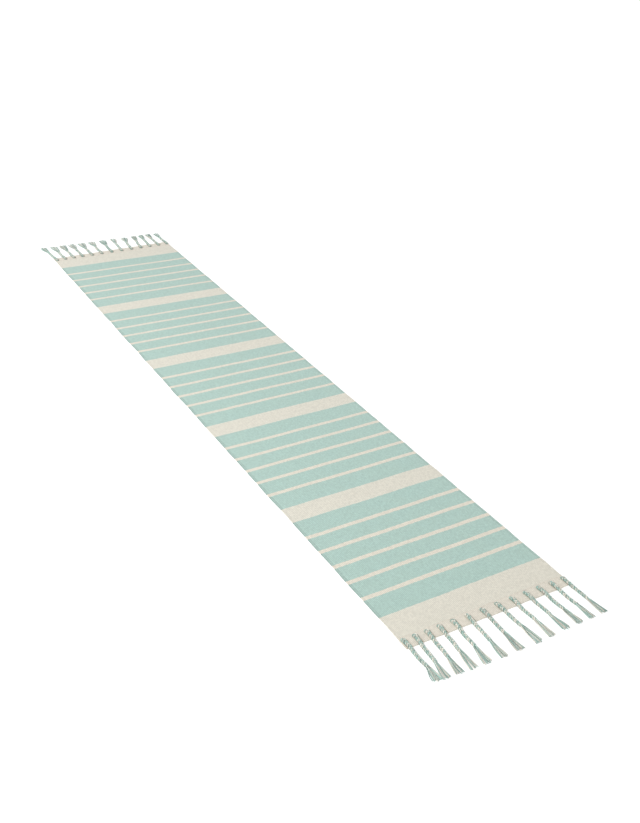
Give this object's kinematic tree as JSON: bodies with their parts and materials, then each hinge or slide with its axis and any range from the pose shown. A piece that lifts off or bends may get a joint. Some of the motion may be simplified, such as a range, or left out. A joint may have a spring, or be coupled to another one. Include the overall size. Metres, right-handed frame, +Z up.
{
  "type": "runner rug",
  "caption": "Long flat-woven cotton runner rug with cross stripes and a fringe of braided tassels at both ends; it folds up flat and its tassels flop.",
  "frame": {"origin": "floor level under the middle of the rug, tassels included", "axes": "+X across the rug, +Y along it from the near fringe to the far fringe, +Z up from the floor"},
  "size_m": [0.609, 3.368, 0.01],
  "materials": {
    "woven_cloth": "matte weft-faced cotton weave, pale aqua with natural cream cross stripes",
    "hem_thread": "matte natural cotton sewing thread",
    "tassel_yarn": "matte cotton yarn, aqua and cream strands plaited together"
  },
  "bodies": {
    "near_panel": {"cloth_panel_1": "woven_cloth", "hem_thread_near": "hem_thread", "yarn_loop_near_01": "tassel_yarn", "yarn_loop_near_02": "tassel_yarn", "yarn_loop_near_03": "tassel_yarn", "yarn_loop_near_04": "tassel_yarn", "yarn_loop_near_05": "tassel_yarn", "yarn_loop_near_06": "tassel_yarn", "yarn_loop_near_07": "tassel_yarn", "yarn_loop_near_08": "tassel_yarn", "yarn_loop_near_09": "tassel_yarn", "yarn_loop_near_10": "tassel_yarn", "yarn_loop_near_11": "tassel_yarn", "yarn_loop_near_12": "tassel_yarn", "yarn_loop_near_13": "tassel_yarn"},
    "second_panel": {"cloth_panel_2": "woven_cloth"},
    "third_panel": {"cloth_panel_3": "woven_cloth"},
    "fourth_panel": {"cloth_panel_4": "woven_cloth"},
    "far_panel": {"cloth_panel_5": "woven_cloth", "hem_thread_far": "hem_thread", "yarn_loop_far_01": "tassel_yarn", "yarn_loop_far_02": "tassel_yarn", "yarn_loop_far_03": "tassel_yarn", "yarn_loop_far_04": "tassel_yarn", "yarn_loop_far_05": "tassel_yarn", "yarn_loop_far_06": "tassel_yarn", "yarn_loop_far_07": "tassel_yarn", "yarn_loop_far_08": "tassel_yarn", "yarn_loop_far_09": "tassel_yarn", "yarn_loop_far_10": "tassel_yarn", "yarn_loop_far_11": "tassel_yarn", "yarn_loop_far_12": "tassel_yarn", "yarn_loop_far_13": "tassel_yarn"},
    "tassel_near_01_body": {"tassel_near_01": "tassel_yarn"},
    "tassel_near_02_body": {"tassel_near_02": "tassel_yarn"},
    "tassel_near_03_body": {"tassel_near_03": "tassel_yarn"},
    "tassel_near_04_body": {"tassel_near_04": "tassel_yarn"},
    "tassel_near_05_body": {"tassel_near_05": "tassel_yarn"},
    "tassel_near_06_body": {"tassel_near_06": "tassel_yarn"},
    "tassel_near_07_body": {"tassel_near_07": "tassel_yarn"},
    "tassel_near_08_body": {"tassel_near_08": "tassel_yarn"},
    "tassel_near_09_body": {"tassel_near_09": "tassel_yarn"},
    "tassel_near_10_body": {"tassel_near_10": "tassel_yarn"},
    "tassel_near_11_body": {"tassel_near_11": "tassel_yarn"},
    "tassel_near_12_body": {"tassel_near_12": "tassel_yarn"},
    "tassel_near_13_body": {"tassel_near_13": "tassel_yarn"},
    "tassel_far_01_body": {"tassel_far_01": "tassel_yarn"},
    "tassel_far_02_body": {"tassel_far_02": "tassel_yarn"},
    "tassel_far_03_body": {"tassel_far_03": "tassel_yarn"},
    "tassel_far_04_body": {"tassel_far_04": "tassel_yarn"},
    "tassel_far_05_body": {"tassel_far_05": "tassel_yarn"},
    "tassel_far_06_body": {"tassel_far_06": "tassel_yarn"},
    "tassel_far_07_body": {"tassel_far_07": "tassel_yarn"},
    "tassel_far_08_body": {"tassel_far_08": "tassel_yarn"},
    "tassel_far_09_body": {"tassel_far_09": "tassel_yarn"},
    "tassel_far_10_body": {"tassel_far_10": "tassel_yarn"},
    "tassel_far_11_body": {"tassel_far_11": "tassel_yarn"},
    "tassel_far_12_body": {"tassel_far_12": "tassel_yarn"},
    "tassel_far_13_body": {"tassel_far_13": "tassel_yarn"}
  },
  "joints": [
    {"name": "fold_1", "type": "hinge", "parent": "near_panel", "child": "second_panel", "pos_m": [0, -0.8276, 0.016], "axis": [1, 0, 0], "range_deg": [0, 179.98]},
    {"name": "fold_2", "type": "hinge", "parent": "second_panel", "child": "third_panel", "pos_m": [0, -0.1762, 0.01325], "axis": [1, 0, 0], "range_deg": [0, 179.98]},
    {"name": "fold_3", "type": "hinge", "parent": "third_panel", "child": "fourth_panel", "pos_m": [0, 0.4602, 0.0105], "axis": [1, 0, 0], "range_deg": [0, 179.98]},
    {"name": "fold_4", "type": "hinge", "parent": "fourth_panel", "child": "far_panel", "pos_m": [0, 1.0816, 0.00775], "axis": [1, 0, 0], "range_deg": [0, 179.98]},
    {"name": "tassel_near_01_flop", "type": "hinge", "parent": "near_panel", "child": "tassel_near_01_body", "pos_m": [-0.2905, -1.5435, 0.004], "axis": [1, 0, 0], "range_deg": [-120, 0]},
    {"name": "tassel_near_02_flop", "type": "hinge", "parent": "near_panel", "child": "tassel_near_02_body", "pos_m": [-0.25198, -1.5435, 0.004], "axis": [1, 0, 0], "range_deg": [-120, 0]},
    {"name": "tassel_near_03_flop", "type": "hinge", "parent": "near_panel", "child": "tassel_near_03_body", "pos_m": [-0.21169, -1.5435, 0.004], "axis": [1, 0, 0], "range_deg": [-120, 0]},
    {"name": "tassel_near_04_flop", "type": "hinge", "parent": "near_panel", "child": "tassel_near_04_body", "pos_m": [-0.16827, -1.5435, 0.004], "axis": [1, 0, 0], "range_deg": [-120, 0]},
    {"name": "tassel_near_05_flop", "type": "hinge", "parent": "near_panel", "child": "tassel_near_05_body", "pos_m": [-0.12108, -1.5435, 0.004], "axis": [1, 0, 0], "range_deg": [-120, 0]},
    {"name": "tassel_near_06_flop", "type": "hinge", "parent": "near_panel", "child": "tassel_near_06_body", "pos_m": [-0.07034, -1.5435, 0.004], "axis": [1, 0, 0], "range_deg": [-120, 0]},
    {"name": "tassel_near_07_flop", "type": "hinge", "parent": "near_panel", "child": "tassel_near_07_body", "pos_m": [-0.017, -1.5435, 0.004], "axis": [1, 0, 0], "range_deg": [-120, 0]},
    {"name": "tassel_near_08_flop", "type": "hinge", "parent": "near_panel", "child": "tassel_near_08_body", "pos_m": [0.0375, -1.5435, 0.004], "axis": [1, 0, 0], "range_deg": [-120, 0]},
    {"name": "tassel_near_09_flop", "type": "hinge", "parent": "near_panel", "child": "tassel_near_09_body", "pos_m": [0.09164, -1.5435, 0.004], "axis": [1, 0, 0], "range_deg": [-120, 0]},
    {"name": "tassel_near_10_flop", "type": "hinge", "parent": "near_panel", "child": "tassel_near_10_body", "pos_m": [0.14423, -1.5435, 0.004], "axis": [1, 0, 0], "range_deg": [-120, 0]},
    {"name": "tassel_near_11_flop", "type": "hinge", "parent": "near_panel", "child": "tassel_near_11_body", "pos_m": [0.19469, -1.5435, 0.004], "axis": [1, 0, 0], "range_deg": [-120, 0]},
    {"name": "tassel_near_12_flop", "type": "hinge", "parent": "near_panel", "child": "tassel_near_12_body", "pos_m": [0.24318, -1.5435, 0.004], "axis": [1, 0, 0], "range_deg": [-120, 0]},
    {"name": "tassel_near_13_flop", "type": "hinge", "parent": "near_panel", "child": "tassel_near_13_body", "pos_m": [0.2905, -1.5435, 0.004], "axis": [1, 0, 0], "range_deg": [-120, 0]},
    {"name": "tassel_far_01_flop", "type": "hinge", "parent": "far_panel", "child": "tassel_far_01_body", "pos_m": [-0.2905, 1.5435, 0.004], "axis": [-1, 0, 0], "range_deg": [-120, 0]},
    {"name": "tassel_far_02_flop", "type": "hinge", "parent": "far_panel", "child": "tassel_far_02_body", "pos_m": [-0.24841, 1.5435, 0.004], "axis": [-1, 0, 0], "range_deg": [-120, 0]},
    {"name": "tassel_far_03_flop", "type": "hinge", "parent": "far_panel", "child": "tassel_far_03_body", "pos_m": [-0.20509, 1.5435, 0.004], "axis": [-1, 0, 0], "range_deg": [-120, 0]},
    {"name": "tassel_far_04_flop", "type": "hinge", "parent": "far_panel", "child": "tassel_far_04_body", "pos_m": [-0.15961, 1.5435, 0.004], "axis": [-1, 0, 0], "range_deg": [-120, 0]},
    {"name": "tassel_far_05_flop", "type": "hinge", "parent": "far_panel", "child": "tassel_far_05_body", "pos_m": [-0.11156, 1.5435, 0.004], "axis": [-1, 0, 0], "range_deg": [-120, 0]},
    {"name": "tassel_far_06_flop", "type": "hinge", "parent": "far_panel", "child": "tassel_far_06_body", "pos_m": [-0.06111, 1.5435, 0.004], "axis": [-1, 0, 0], "range_deg": [-120, 0]},
    {"name": "tassel_far_07_flop", "type": "hinge", "parent": "far_panel", "child": "tassel_far_07_body", "pos_m": [-0.009, 1.5435, 0.004], "axis": [-1, 0, 0], "range_deg": [-120, 0]},
    {"name": "tassel_far_08_flop", "type": "hinge", "parent": "far_panel", "child": "tassel_far_08_body", "pos_m": [0.04372, 1.5435, 0.004], "axis": [-1, 0, 0], "range_deg": [-120, 0]},
    {"name": "tassel_far_09_flop", "type": "hinge", "parent": "far_panel", "child": "tassel_far_09_body", "pos_m": [0.09597, 1.5435, 0.004], "axis": [-1, 0, 0], "range_deg": [-120, 0]},
    {"name": "tassel_far_10_flop", "type": "hinge", "parent": "far_panel", "child": "tassel_far_10_body", "pos_m": [0.14689, 1.5435, 0.004], "axis": [-1, 0, 0], "range_deg": [-120, 0]},
    {"name": "tassel_far_11_flop", "type": "hinge", "parent": "far_panel", "child": "tassel_far_11_body", "pos_m": [0.19609, 1.5435, 0.004], "axis": [-1, 0, 0], "range_deg": [-120, 0]},
    {"name": "tassel_far_12_flop", "type": "hinge", "parent": "far_panel", "child": "tassel_far_12_body", "pos_m": [0.24375, 1.5435, 0.004], "axis": [-1, 0, 0], "range_deg": [-120, 0]},
    {"name": "tassel_far_13_flop", "type": "hinge", "parent": "far_panel", "child": "tassel_far_13_body", "pos_m": [0.2905, 1.5435, 0.004], "axis": [-1, 0, 0], "range_deg": [-120, 0]}
  ]
}
